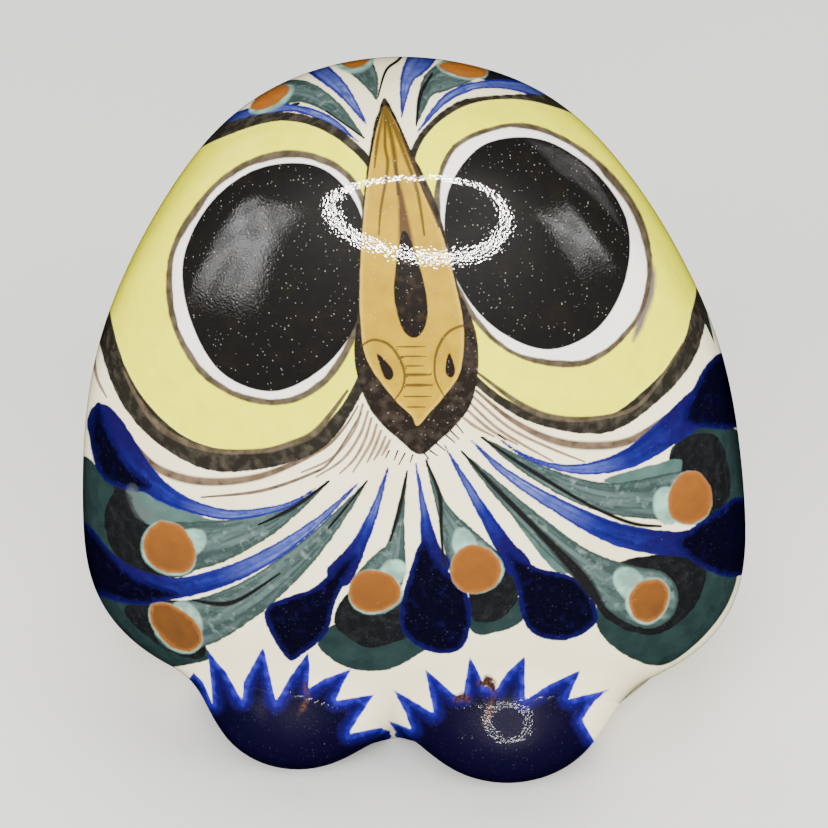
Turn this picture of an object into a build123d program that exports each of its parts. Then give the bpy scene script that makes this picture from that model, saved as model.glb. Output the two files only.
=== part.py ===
"""Hollow stoneware owl: two press-moulded half shells, the rolls of clay inside their seam, a base
slab with a vent hole, and two rounded feet luted under the belly.

Frame: millimetres, +Z up, the face looks towards -Y, and the owl stands on Z = 0. X = 0 is the
middle of the face, and Y = 0 is the plane of the seam between the two half shells.
"""

from build123d import *
import os

os.makedirs("parts", exist_ok=True)

# Body: a gumdrop turned about Z, then flattened a lot in front and a little behind
BODY_HEIGHT = 79.4
HALF_WIDTH = 39.0
FRONT_DEPTH = 21.6
BACK_DEPTH = 38.0
OUTLINE = [
    (27.5, 0),
    (31.6, 4.5),
    (37.0, 10.6),
    (HALF_WIDTH, 24.3),
    (25.7, 65.6),
    (17.8, 74.5),
    (0, BODY_HEIGHT),
]
BASE_TANGENT = (0.93, 0.37)
CROWN_TANGENT = (-1, 0)

# Clay thickness, and the pieces that close the body
WALL = 4.0
SLAB_RADIUS = 22.5
VENT_RADIUS = 3.0
COIL_THICKNESS = 2.6
COIL_START_HEIGHT = 8.0
COIL_LENGTH = 52.0
COIL_FRONT_ANGLE = 11
COIL_BACK_ANGLE = 6

# Feet: the centre and the half sizes of each rounded lump
LEFT_FOOT_CENTRE = (-12.6, -14.1, 6.5)
LEFT_FOOT_RADII = (11.2, 10.6, 8.0)
RIGHT_FOOT_CENTRE = (11.2, -13.9, 6.5)
RIGHT_FOOT_RADII = (12.5, 12.2, 8.0)


def seam_section(inset):
    """The body's whole section in the seam plane, drawn `inset` inside its outer skin."""
    with BuildSketch(Plane.XZ) as section:
        with BuildLine():
            Spline(*OUTLINE, tangents=[BASE_TANGENT, CROWN_TANGENT])
            Polyline(OUTLINE[-1], (0, 0), OUTLINE[0])
        make_face()
        mirror(about=Plane.YZ)
        if inset:
            offset(amount=-inset, kind=Kind.INTERSECTION, mode=Mode.REPLACE)
    return section.sketch


def solid_half(inset, depth, turn_axis):
    """Half a gumdrop on one side of the seam plane, `inset` inside the skin and `depth` deep."""
    with BuildPart() as half:
        with BuildSketch(Plane.XZ):
            add(seam_section(inset))
            split(bisect_by=Plane.YZ, keep=Keep.TOP)
        revolve(axis=turn_axis, revolution_arc=180)
        scale(by=(1, depth / (HALF_WIDTH - inset), 1))
    return half.part


def base_plan():
    """The slab's outline: half ellipses that follow the body's own front and back depths."""
    with BuildSketch() as front_plan:
        Ellipse(SLAB_RADIUS, SLAB_RADIUS * FRONT_DEPTH / HALF_WIDTH)
        split(bisect_by=Plane.XZ, keep=Keep.TOP)
    with BuildSketch() as plan:
        Ellipse(SLAB_RADIUS, SLAB_RADIUS * BACK_DEPTH / HALF_WIDTH)
        split(bisect_by=Plane.XZ, keep=Keep.BOTTOM)
        add(front_plan.sketch)
    return plan.sketch


FRONT_AXIS = Axis.Z.reverse()
BACK_AXIS = Axis.Z
front_outer = solid_half(0, FRONT_DEPTH, FRONT_AXIS)
back_outer = solid_half(0, BACK_DEPTH, BACK_AXIS)


def half_shell(outer, depth, turn_axis):
    """A half shell: the outer half less its hollow and the opening that the base slab fills."""
    with BuildPart() as shell:
        add(outer)
        add(solid_half(WALL, depth - WALL, turn_axis), mode=Mode.SUBTRACT)
        with BuildSketch():
            add(base_plan())
        extrude(amount=WALL, mode=Mode.SUBTRACT)
    return shell


def coil_wedge(depth, turn_axis, angle):
    """The part of a side's inner roll that lies on one half shell, as a curved wedge."""
    with BuildPart() as wedge:
        with BuildSketch(Plane.XZ):
            add(seam_section(WALL))
            add(seam_section(WALL + COIL_THICKNESS), mode=Mode.SUBTRACT)
            with Locations((0, COIL_START_HEIGHT)):
                Rectangle(HALF_WIDTH, COIL_LENGTH, align=(Align.MIN, Align.MIN), mode=Mode.INTERSECT)
        revolve(axis=turn_axis, revolution_arc=angle)
        scale(by=(1, (depth - WALL) / (HALF_WIDTH - WALL), 1))
    return wedge.part


def foot(centre, radii):
    """A rounded lump of clay, flat underneath, that fits the belly's curve face to face."""
    with BuildPart() as lump:
        with Locations(centre):
            Sphere(1)
        scale(by=radii, about=centre)
        split(bisect_by=Plane.XY, keep=Keep.TOP)
        add(front_outer, mode=Mode.SUBTRACT)
        add(back_outer, mode=Mode.SUBTRACT)
    return lump


# Front and back of the body, face to face in the seam plane
front_shell = half_shell(front_outer, FRONT_DEPTH, FRONT_AXIS)
front_shell.part.label = "front_shell"
back_shell = half_shell(back_outer, BACK_DEPTH, BACK_AXIS)
back_shell.part.label = "back_shell"

# The slab let into the open bottom, with the hole that lets steam out in the kiln
with BuildPart() as base_slab:
    with BuildSketch():
        add(base_plan())
    extrude(amount=WALL)
    with Locations((0, (BACK_DEPTH - FRONT_DEPTH) * SLAB_RADIUS / HALF_WIDTH / 2, WALL)):
        Hole(VENT_RADIUS)
base_slab.part.label = "base_slab"

# The rolls of clay pressed along the inside of the seam, as high as fingers reach from below
with BuildPart() as right_seam_coil:
    add(coil_wedge(FRONT_DEPTH, FRONT_AXIS, COIL_FRONT_ANGLE))
    add(coil_wedge(BACK_DEPTH, BACK_AXIS, COIL_BACK_ANGLE))
right_seam_coil.part.label = "right_seam_coil"
with BuildPart() as left_seam_coil:
    add(right_seam_coil.part)
    mirror(about=Plane.YZ, mode=Mode.REPLACE)
left_seam_coil.part.label = "left_seam_coil"

# Two feet, the right one a little larger than the left
left_foot = foot(LEFT_FOOT_CENTRE, LEFT_FOOT_RADII)
left_foot.part.label = "left_foot"
right_foot = foot(RIGHT_FOOT_CENTRE, RIGHT_FOOT_RADII)
right_foot.part.label = "right_foot"

pieces = [front_shell, back_shell, base_slab, left_seam_coil, right_seam_coil, left_foot, right_foot]
for piece in pieces:
    export_step(piece.part, f"parts/{piece.part.label}.step")
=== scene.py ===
import math
import bpy
import numpy as np
from mathutils import Matrix, Vector


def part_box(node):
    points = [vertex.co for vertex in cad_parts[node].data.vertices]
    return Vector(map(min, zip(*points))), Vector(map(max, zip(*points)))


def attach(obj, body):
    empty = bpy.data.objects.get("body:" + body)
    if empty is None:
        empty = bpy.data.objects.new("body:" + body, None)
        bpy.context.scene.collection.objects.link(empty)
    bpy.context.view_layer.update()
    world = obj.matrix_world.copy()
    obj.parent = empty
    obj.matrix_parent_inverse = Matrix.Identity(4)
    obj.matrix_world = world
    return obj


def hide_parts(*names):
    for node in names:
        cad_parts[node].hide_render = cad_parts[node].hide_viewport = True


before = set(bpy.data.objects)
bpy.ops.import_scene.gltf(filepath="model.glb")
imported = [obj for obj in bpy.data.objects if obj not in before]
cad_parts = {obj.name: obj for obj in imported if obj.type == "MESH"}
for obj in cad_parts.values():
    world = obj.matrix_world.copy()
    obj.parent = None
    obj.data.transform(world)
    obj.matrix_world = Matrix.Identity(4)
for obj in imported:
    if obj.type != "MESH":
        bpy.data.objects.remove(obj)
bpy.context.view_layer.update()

# A small hollow owl of glazed stoneware, painted by hand under the glaze. Lengths are in
# millimetres here and become metres when a mesh, light or camera is made.
MM = 0.001

# ---------------------------------------------------------------- the frame's own sizes
front_low, front_high = (np.array(corner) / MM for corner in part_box("front_shell"))
back_high = np.array(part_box("back_shell")[1]) / MM
slab_low, slab_high = (np.array(corner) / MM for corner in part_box("base_slab"))
HEIGHT = front_high[2]
HALF_WIDTH = front_high[0]
FRONT_DEPTH = -front_low[1]
BACK_DEPTH = back_high[1]
WALL = slab_high[2]
SLAB_RADIUS = slab_high[0]
SLAB_FRONT = -slab_low[1]
SLAB_BACK = slab_high[1]

# The body's outline from the base's edge to the crown, in parts of the half width and the height
OUTLINE = [(0.702, 0), (0.806, 0.057), (0.944, 0.1335), (0.995, 0.306), (0.656, 0.826),
           (0.454, 0.938), (0, 1)]
BASE_TANGENT = (0.93, 0.37)
CROWN_TANGENT = (-1.0, 0.0)
FRONT_FULLNESS = 0.78
BACK_FULLNESS = 0.98

# Feet: the rounded lumps reach the CAD feet's front, sides and floor
FOOT_LENGTHS = {"left_foot": 10.6, "right_foot": 12.2}
FOOT_MIDDLE_HEIGHT = 6.5
FOOT_HALF_HEIGHT = 8.0
FILLET = 5.0
LIP = 0.004
UNDERLAP = 1.3

# The blend is found along rays from inside the body. They meet the skin at a slant, go out at most
# so many times as far as the skin, and each is halved so many times.
RAY_CENTRE = np.array([0.0, 0.0, 30.0])
RAY_SLANT = 0.85
FARTHEST_SWELL = 1.8
HALVINGS = 26
NOT_HERE = -9.0

# The hand-smoothed surface: how high its long, middle and short ripples are, and how far above the
# floor they reach their full height
LONG_RIPPLE = 0.10
MIDDLE_RIPPLE = 0.07
SHORT_RIPPLE = 0.05
RIPPLE_START = 8.0

# Mesh density, how evenly the columns are spread, and the seam column's width in radians
DENSITY = 1.0
ROWS = int(400 * DENSITY)
FRONT_COLUMNS = int(400 * DENSITY)
BACK_COLUMNS = int(200 * DENSITY)
INNER_ROWS = 30
FRONT_EVENNESS = 0.7
BACK_EVENNESS = 0.9
SEAM_STRIP = 0.0026

# The face plane: a painter's view of the face, tilted and turned from straight ahead
FACE_TILT = math.radians(40)
FACE_TURN = math.radians(5.5)
FACE_ROLL = math.radians(-2.5)
FACE_CENTRE = np.array([0.0, 0.0, 38.0])
EYE_DISTANCE = 300.0


def face_axes():
    """Right, up and back (towards the painter) of the face plane."""
    back = np.array([
        math.sin(FACE_TURN) * math.cos(FACE_TILT),
        -math.cos(FACE_TURN) * math.cos(FACE_TILT),
        math.sin(FACE_TILT),
    ])
    right = np.array([math.cos(FACE_TURN), math.sin(FACE_TURN), 0.0])
    up = np.cross(back, right)
    turned_right = math.cos(FACE_ROLL) * right + math.sin(FACE_ROLL) * up
    turned_up = math.cos(FACE_ROLL) * up - math.sin(FACE_ROLL) * right
    return turned_right, turned_up, back


FACE_RIGHT, FACE_UP, FACE_BACK = face_axes()
PAINTERS_EYE = FACE_CENTRE + FACE_BACK * EYE_DISTANCE

# ---------------------------------------------------------------- curves


def clamped_spline(points, start, end, samples=2000):
    """A smooth curve through the points with unit end tangents, as many close samples."""
    p = np.array(points, float)
    h = np.linalg.norm(np.diff(p, axis=0), axis=1)
    n = len(p)
    a, b = np.eye(n), np.zeros_like(p)
    b[0] = np.array(start) / np.linalg.norm(start)
    b[-1] = np.array(end) / np.linalg.norm(end)
    for i in range(1, n - 1):
        a[i, i - 1], a[i, i], a[i, i + 1] = h[i], 2 * (h[i - 1] + h[i]), h[i - 1]
        b[i] = 3 * (h[i] * (p[i] - p[i - 1]) / h[i - 1] + h[i - 1] * (p[i + 1] - p[i]) / h[i])
    m = np.linalg.solve(a, b)
    t = np.r_[0, np.cumsum(h)]
    s = np.linspace(0, t[-1], samples)
    i = np.clip(np.searchsorted(t, s, side="right") - 1, 0, n - 2)
    f = ((s - t[i]) / h[i])[:, None]
    hi = h[i][:, None]
    return (
        (2 * f**3 - 3 * f**2 + 1) * p[i] + (f**3 - 2 * f**2 + f) * hi * m[i]
        + (3 * f**2 - 2 * f**3) * p[i + 1] + (f**3 - f**2) * hi * m[i + 1]
    )


def evenly(curve, count):
    """The curve again as count + 1 points that are evenly spaced along it."""
    run = np.r_[0, np.cumsum(np.linalg.norm(np.diff(curve, axis=0), axis=1))]
    at = np.linspace(0, run[-1], count + 1)
    return np.stack([np.interp(at, run, curve[:, k]) for k in range(curve.shape[1])], -1)


def rounded(points, steps, closed):
    """A Catmull-Rom curve through the points, with steps samples for each span."""
    p = np.array(points, float)
    n = len(p)
    spans = n if closed else n - 1
    out = []
    for i in range(spans):
        if closed:
            a, b, c, d = (p[(i + k) % n] for k in (-1, 0, 1, 2))
        else:
            a, b, c, d = p[max(i - 1, 0)], p[i], p[i + 1], p[min(i + 2, n - 1)]
        for f in np.arange(steps) / steps:
            out.append(0.5 * (2 * b + (c - a) * f + (2 * a - 5 * b + 4 * c - d) * f**2
                              + (3 * b - a - 3 * c + d) * f**3))
    if not closed:
        out.append(p[-1])
    return np.array(out)


# ---------------------------------------------------------------- the body's surface
outline_curve = clamped_spline(
    [(r * HALF_WIDTH, z * HEIGHT) for r, z in OUTLINE], BASE_TANGENT, CROWN_TANGENT)
profile = evenly(outline_curve, ROWS)
profile[0, 1] = 0.0
profile[-1, 0] = 0.0


def turn_angles(columns, evenness):
    """Angles from the left seam to the right one, closer together in the middle, with one narrow
    column at each seam so that the halves' surfaces turn alike there."""
    a = np.linspace(-1, 1, columns + 1)
    a = math.pi / 2 * (evenness * a + (1 - evenness) * a**3)
    return np.r_[a[0], a[0] + SEAM_STRIP, a[1:-1], a[-1] - SEAM_STRIP, a[-1]]


def half_grid(angles, radii, heights, depth_ratio, fullness, side):
    """Points (rows, columns, 3) of a flattened turned shape; side is -1 in front, 1 behind."""
    sine, cosine = np.sin(angles)[None], np.abs(np.cos(angles))[None]
    cosine[:, 0] = cosine[:, -1] = 0.0
    r = radii[:, None]
    x = r * sine
    y = side * r * depth_ratio * cosine**fullness
    return np.stack([x, y, np.broadcast_to(heights[:, None], x.shape)], -1)


def wander(points):
    """How far the hand-smoothed surface stands off the true shape."""
    x, y, z = points[..., 0], points[..., 1], points[..., 2]
    return (
        LONG_RIPPLE * np.sin(x / 7.1 + 1.3) * np.cos(z / 8.3 + 0.4)
        + MIDDLE_RIPPLE * np.sin(y / 5.3 + z / 6.1)
        + SHORT_RIPPLE * np.sin(x / 3.7 - z / 4.9 + 2.0) * np.cos(y / 6.0)
    ) * np.clip(z / RIPPLE_START, 0, 1)


def soft_min(a, b, reach):
    """The smaller of two distances, rounded where they are within reach of each other."""
    h = np.clip(reach - np.abs(a - b), 0, None) / reach
    return np.minimum(a, b) - h * h * reach / 4


def foot_shape(node):
    """Centre and half sizes of a foot's rounded lump, from its CAD node."""
    low, high = (np.array(corner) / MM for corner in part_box(node))
    length = FOOT_LENGTHS[node]
    centre = np.array([(low[0] + high[0]) / 2, low[1] + length, FOOT_MIDDLE_HEIGHT])
    return centre, np.array([(high[0] - low[0]) / 2, length, FOOT_HALF_HEIGHT])


FEET = {node: foot_shape(node) for node in FOOT_LENGTHS}


def foot_distance(points, foot):
    """Roughly how far the points are outside a foot's lump."""
    centre, radii = foot
    q = (points - centre) / radii
    k0 = np.linalg.norm(q, axis=-1)
    k1 = np.linalg.norm(q / radii, axis=-1)
    return k0 * (k0 - 1) / np.maximum(k1, 1e-6)


def with_feet(skin):
    """Swells the front skin round the feet. Returns the blended skin, the skin as the shell alone
    has it, for each foot how deep a point is in its share of the blend, and which way is out."""
    ray = skin - RAY_CENTRE
    reach = np.linalg.norm(ray, axis=-1)

    def blend(k):
        p = RAY_CENTRE + ray * k[..., None]
        body = (k - 1) * reach * RAY_SLANT
        feet = [foot_distance(p, foot) for foot in FEET.values()]
        return p, body, feet, soft_min(body, np.minimum(*feet), FILLET)

    low, high = np.ones(reach.shape), np.full(reach.shape, FARTHEST_SWELL)
    for _ in range(HALVINGS):
        middle = (low + high) / 2
        inside = blend(middle)[3] < 0
        low, high = np.where(inside, middle, low), np.where(inside, high, middle)
    floor_stop = np.where(ray[..., 2] < -1e-6, RAY_CENTRE[2] / np.maximum(-ray[..., 2], 1e-6), 9.0)
    k = np.minimum(low, np.maximum(floor_stop, 1.0))
    p, body, feet, _ = blend(k)
    share = [body - foot for foot in feet]
    owner = np.argmin(np.stack(feet), axis=0)
    depth = [np.where(owner == i, s, NOT_HERE) for i, s in enumerate(share)]
    deepest = np.maximum(*depth)
    dip = np.clip(1 - (deepest - UNDERLAP) / UNDERLAP, 0, 1)
    bare = RAY_CENTRE + ray * (1 + (k - 1) * dip)[..., None]
    out = ray / reach[..., None]
    return p, bare, depth, out


# ---------------------------------------------------------------- the face plane's coordinates


def seen(points):
    """The points as a painter facing the owl sees them: across, up, and depth behind the eye."""
    ray = points - PAINTERS_EYE
    depth = -(ray @ FACE_BACK)
    return ray @ FACE_RIGHT / depth * EYE_DISTANCE, ray @ FACE_UP / depth * EYE_DISTANCE, depth


def grid_normals(points):
    """Unit normals of a (rows, columns, 3) grid that point away from the body's middle."""
    n = np.cross(np.gradient(points, axis=0), np.gradient(points, axis=1))
    n /= np.linalg.norm(n, axis=-1, keepdims=True) + 1e-9
    return n * np.sign(((points - RAY_CENTRE) * n).sum(-1))[..., None]


BACK_TILT = math.radians(25)
SEAM_MARGIN = 0.5
OUT_OF_THE_WAY = 200.0


def seen_from_behind(points):
    """Flat coordinates of the back, as it's seen from behind and a little above. The points next
    to the seam are moved out of the way, so the back's design stops short of it."""
    back = np.array([0.0, math.cos(BACK_TILT), math.sin(BACK_TILT)])
    up = np.array([0.0, -math.sin(BACK_TILT), math.cos(BACK_TILT)])
    ray = points - (FACE_CENTRE + back * EYE_DISTANCE)
    depth = -(ray @ back)
    hidden = np.where(points[..., 1] < SEAM_MARGIN, OUT_OF_THE_WAY, 0.0)
    return -ray[..., 0] / depth * EYE_DISTANCE + hidden, ray @ up / depth * EYE_DISTANCE


# The visible edge is averaged in so many bearings, over the points that are nearly side-on, and
# blurred over its neighbours. The brush is steadiest at the edge and free again past its reach.
# The crown's last rows are left out, as their quads are too narrow for sound normals.
EDGE_BINS = 120
SIDE_ON = 0.06
EDGE_BLUR = 2.5
STEADY_REACH = 1.2
STEADIEST = 0.06
CROWN_ROWS = 4


class FacePlane:
    """Lays the skin out flat: what the painter sees keeps its place, and what is hidden carries
    on outwards past the visible edge, as far as it lies round the corner. It also gives how
    freely the brush's edge wobbles: little near the visible edge, where the layout is squeezed."""

    def __init__(self, grids):
        sums = np.zeros((3, EDGE_BINS))
        for whole in grids:
            grid, normals = whole[:-CROWN_ROWS], grid_normals(whole)[:-CROWN_ROWS]
            u, v, depth = seen(grid)
            sight = PAINTERS_EYE - grid
            facing = (sight * normals).sum(-1) / np.linalg.norm(sight, axis=-1)
            rim = np.abs(facing) < SIDE_ON
            bearing = np.arctan2(v, u)[rim]
            slot = ((bearing + math.pi) / (2 * math.pi) * EDGE_BINS).astype(int) % EDGE_BINS
            for row, values in enumerate((np.ones(slot.size), np.hypot(u, v)[rim], depth[rim])):
                sums[row] += np.bincount(slot, values, EDGE_BINS)
        reach = np.arange(EDGE_BINS) - EDGE_BINS // 2
        bell = np.exp(-(reach / EDGE_BLUR) ** 2)
        spread = np.fft.rfft(np.fft.ifftshift(bell))
        count, span, depth = (np.fft.irfft(np.fft.rfft(row) * spread, EDGE_BINS) for row in sums)
        self.angles = -math.pi + (np.arange(EDGE_BINS) + 0.5) * 2 * math.pi / EDGE_BINS
        self.span, self.depth = span / count, depth / count

    def __call__(self, points):
        u, v, depth = seen(points)
        bearing, span = np.arctan2(v, u), np.hypot(u, v)
        edge_depth = np.interp(bearing, self.angles, self.depth, period=2 * math.pi)
        edge = self.edge(bearing)
        past = np.hypot(np.maximum(edge - span, 0), depth - edge_depth)
        full = np.where(depth > edge_depth, edge + past, span)
        hand = np.clip(np.abs(full - edge) / STEADY_REACH, STEADIEST, 1)
        return full * np.cos(bearing), full * np.sin(bearing), hand

    def edge(self, bearing):
        """How far out the visible edge is, on that bearing."""
        return np.interp(bearing, self.angles, self.span, period=2 * math.pi)


# ---------------------------------------------------------------- painted shapes, as distances
FAR = 3.0


def near(u, v, low, high):
    """Indices of the points within a box and FAR round it."""
    across = (u > low[0] - FAR) & (u < high[0] + FAR)
    return np.nonzero(across & (v > low[1] - FAR) & (v < high[1] + FAR))[0]


def from_segment(x, y, a, ab):
    """How far along the segment from a the nearest place is (0 to 1), and the offsets from it."""
    t = np.clip(((x - a[0]) * ab[0] + (y - a[1]) * ab[1]) / (ab @ ab + 1e-12), 0, 1)
    return t, x - a[0] - t * ab[0], y - a[1] - t * ab[1]


def outline_distance(u, v, outlines, smooth=True):
    """Signed distance to the nearest of some closed outlines, negative inside."""
    field = np.full(u.shape, FAR)
    for points in outlines:
        loop = rounded(points, 7, True) if smooth else np.array(points, float)
        i = near(u, v, loop.min(0), loop.max(0))
        x, y = u[i], v[i]
        best = np.full(x.shape, 1e9)
        inside = np.zeros(x.shape, bool)
        for a, b in zip(loop, np.roll(loop, -1, axis=0)):
            ab = b - a
            _, dx, dy = from_segment(x, y, a, ab)
            best = np.minimum(best, dx**2 + dy**2)
            if a[1] != b[1]:
                crossing = a[0] + (y - a[1]) * ab[0] / ab[1]
                inside ^= ((a[1] > y) != (b[1] > y)) & (x < crossing)
        distance = np.sqrt(best)
        field[i] = np.minimum(field[i], np.where(inside, -distance, distance))
    return np.clip(field, -FAR, FAR)


def stroke_distance(u, v, strokes):
    """Signed distance to the nearest brush stroke, how far along that stroke the point is (0 at
    the first touch, 1 at the end), and how far across it (-1 to 1). A stroke's points each have
    the half width of the brush mark there."""
    field = np.full(u.shape, FAR)
    along, across = np.zeros(u.shape), np.zeros(u.shape)
    for points in strokes:
        path = rounded(points, 6, False)
        xy, width = path[:, :2], path[:, 2]
        run = np.r_[0, np.cumsum(np.linalg.norm(np.diff(xy, axis=0), axis=1))]
        run /= max(run[-1], 1e-6)
        i = near(u, v, (xy - width[:, None]).min(0), (xy + width[:, None]).max(0))
        x, y = u[i], v[i]
        best, s, side = field[i], along[i], across[i]
        for k in range(len(xy) - 1):
            a, ab = xy[k], xy[k + 1] - xy[k]
            t, dx, dy = from_segment(x, y, a, ab)
            w = width[k] + t * (width[k + 1] - width[k])
            d = np.hypot(dx, dy) - w
            closer = d < best
            best = np.where(closer, d, best)
            s = np.where(closer, run[k] + t * (run[k + 1] - run[k]), s)
            turn = (ab[0] * dy - ab[1] * dx) / (math.hypot(*ab) + 1e-9)
            side = np.where(closer, turn / np.maximum(w, 0.05), side)
        field[i], along[i], across[i] = best, s, side
    return field, along, np.clip(across, -4, 4)


# ---------------------------------------------------------------- the design on the face plane
# Points are (across, up) from the face's middle, in millimetres. A brush stroke's points also have
# the half width of the mark there. What lies past the visible edge carries on in the same layout.


def oval(x, y, angle, along, across):
    """A hand-drawn oval whose long axis points outwards at the angle, measured from straight down."""
    a = math.radians(angle)
    axis, side = np.array([math.sin(a), -math.cos(a)]), np.array([math.cos(a), math.sin(a)])
    turns = np.linspace(0, 2 * math.pi, 11)[:-1]
    wobble = 1 + 0.04 * np.sin(3 * turns + angle)
    return [tuple(np.array([x, y]) + w * (axis * along * math.cos(t) + side * across * math.sin(t)))
            for t, w in zip(turns, wobble)]


def thin_line(*points, width=0.2):
    """A hairline that swells a little and tapers at its ends."""
    swell = np.interp(np.linspace(0, 1, len(points)), (0, 0.5, 1), (0.75, 1, 0.5))
    return [(x, y, width * s) for (x, y), s in zip(points, swell)]


PUPILS = [
    [(-12.5, 28.3), (-18.1, 27.2), (-23.0, 23.1), (-25.7, 17.0), (-24.9, 10.4), (-21.5, 4.4),
     (-15.7, 2.1), (-10.1, 4.5), (-6.3, 9.0), (-4.6, 14.9), (-5.3, 22.2), (-8.4, 26.8)],
    [(12.1, 31.2), (16.9, 30.4), (22.1, 26.6), (25.2, 21.1), (24.8, 14.6), (21.6, 9.2),
     (16.3, 6.9), (11.0, 8.6), (6.8, 12.7), (4.4, 18.6), (4.7, 25.2), (7.8, 29.8)],
]
WHITE_RINGS = [
    [(-13.4, 30.0), (-19.3, 28.3), (-24.2, 24.0), (-27.5, 17.9), (-27.5, 10.6), (-24.2, 4.1),
     (-18.7, 0.8), (-13.1, 0.6), (-8.4, 3.6), (-5.3, 9.2), (-3.7, 16.1), (-4.6, 24.1), (-7.8, 28.4)],
    [(11.5, 33.0), (16.9, 32.0), (22.6, 28.2), (26.9, 22.5), (28.2, 16.3), (26.6, 10.1),
     (21.9, 5.5), (16.8, 4.7), (11.1, 6.5), (6.6, 10.9), (3.6, 17.0), (2.7, 24.1), (5.0, 30.5)],
]
YELLOWS = [
    [(-13.7, 33.0), (-20.1, 31.5), (-26.3, 28.3), (-31.2, 23.2), (-34.2, 16.0), (-33.4, 8.3),
     (-30.7, 1.9), (-25.5, -3.1), (-18.7, -4.8), (-12.3, -3.3), (-7.6, 0.5), (-4.2, 8.0),
     (-2.3, 17.2), (-3.5, 25.8), (-7.8, 30.9)],
    [(11.0, 35.5), (16.0, 34.8), (21.4, 32.4), (27.2, 27.6), (31.7, 21.2), (33.0, 14.8),
     (32.4, 11.0), (31.3, 7.4), (28.2, 3.3), (22.4, -0.9), (15.7, -0.5), (9.6, 2.4), (4.8, 8.0),
     (1.8, 16.1), (0.4, 24.1), (1.5, 30.5), (5.7, 34.4)],
]
DARK_RINGS = [
    [(-13.7, 34.0), (-20.6, 32.8), (-27.6, 30.0), (-33.3, 24.6), (-36.6, 16.6), (-35.3, 8.0),
     (-33.2, 1.4), (-29.3, -3.4), (-23.4, -6.8), (-16.8, -6.8), (-10.3, -4.7), (-6.4, -0.2),
     (-2.7, 8.0), (-1.4, 17.2), (-2.8, 26.4), (-7.5, 32.0)],
    [(10.8, 36.0), (16.5, 35.8), (22.7, 33.6), (29.0, 28.7), (34.0, 22.0), (35.2, 15.4),
     (34.2, 10.9), (32.9, 6.2), (29.7, 1.9), (23.3, -2.5), (15.7, -1.9), (9.6, 1.2), (4.2, 6.9),
     (0.8, 16.1), (-0.5, 24.1), (0.7, 30.7), (5.3, 35.1)],
]
MAUVE = [[(27.2, 19.2), (28.4, 14.8), (27.0, 9.8), (25.7, 7.8), (26.4, 11.4), (27.3, 16.4)]]
KHAKI = [
    [(-32.5, 4.3, 0.1), (-30.6, 0.6, 0.25), (-27.8, -2.5, 0.35), (-23.0, -4.5, 0.3), (-17.2, -4.7, 0.3),
     (-13.4, -3.8, 0.35), (-10.4, -2.3, 0.4), (-7.0, 2.1, 0.15)],
    [(8.0, 4.2, 0.15), (13.4, 0.4, 0.35), (18.0, -1.0, 0.35), (23.6, -0.6, 0.25), (27.3, 1.3, 0.2),
     (31.4, 7.5, 0.1)],
]

BLUE = [
    [(-10.5, -8.9, 0.1), (-14.1, -11.0, 0.35), (-20.4, -12.0, 0.6), (-25.9, -10.6, 0.85),
     (-30.1, -7.8, 1.4), (-34.3, -2.7, 2.1), (-35.1, -0.8, 1.5)],
    [(-5.7, -8.4, 0.1), (-10.1, -12.6, 0.5), (-15.8, -16.6, 0.9), (-21.6, -19.2, 1.1),
     (-27.3, -20.4, 1.3), (-33.0, -19.7, 2.3), (-37.0, -16.8, 2.4)],
    [(-2.2, -6.4, 0.1), (-3.8, -11.4, 0.5), (-5.8, -15.8, 0.95), (-7.7, -18.7, 1.6)],
    [(0.9, -6.1, 0.1), (1.8, -11.4, 0.45), (2.6, -16.0, 1.15), (3.3, -17.7, 1.5)],
    [(4.2, -4.1, 0.1), (7.6, -10.0, 0.55), (10.8, -15.3, 1.05), (12.5, -17.7, 1.5)],
    [(7.3, -3.5, 0.1), (11.1, -7.1, 0.5), (17.4, -11.1, 0.9), (24.2, -14.3, 1.35),
     (31.1, -15.3, 1.45), (35.5, -14.6, 1.8)],
    [(10.2, -3.1, 0.1), (13.9, -5.5, 0.25), (19.1, -6.8, 0.55), (24.8, -5.8, 1.1), (29.4, -2.9, 1.6),
     (33.5, 0.5, 2.0), (36.0, 1.8, 2.0)],
    [(-5.7, 30.8, 0.1), (-9.2, 33.3, 0.5), (-13.7, 34.5, 0.45), (-18.2, 33.5, 0.9), (-22.7, 31.6, 1.0),
     (-28.5, 31.0, 1.2), (-33.0, 28.0, 0.5)],
    [(-4.7, 32.7, 0.1), (-7.3, 36.4, 0.75), (-10.5, 39.2, 1.1), (-14.5, 42.5, 1.5), (-18.5, 44.5, 1.8)],
    [(-0.7, 33.6, 0.1), (-0.1, 37.9, 0.8), (1.6, 40.6, 1.6), (2.8, 44.5, 1.9), (3.0, 48.5, 2.0)],
    [(1.2, 32.0, 0.1), (4.7, 35.9, 0.5), (9.6, 37.3, 0.5), (15.6, 36.3, 0.8), (21.3, 34.2, 0.8),
     (27.5, 32.0, 1.1), (33.0, 28.5, 0.5)],
]
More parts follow.
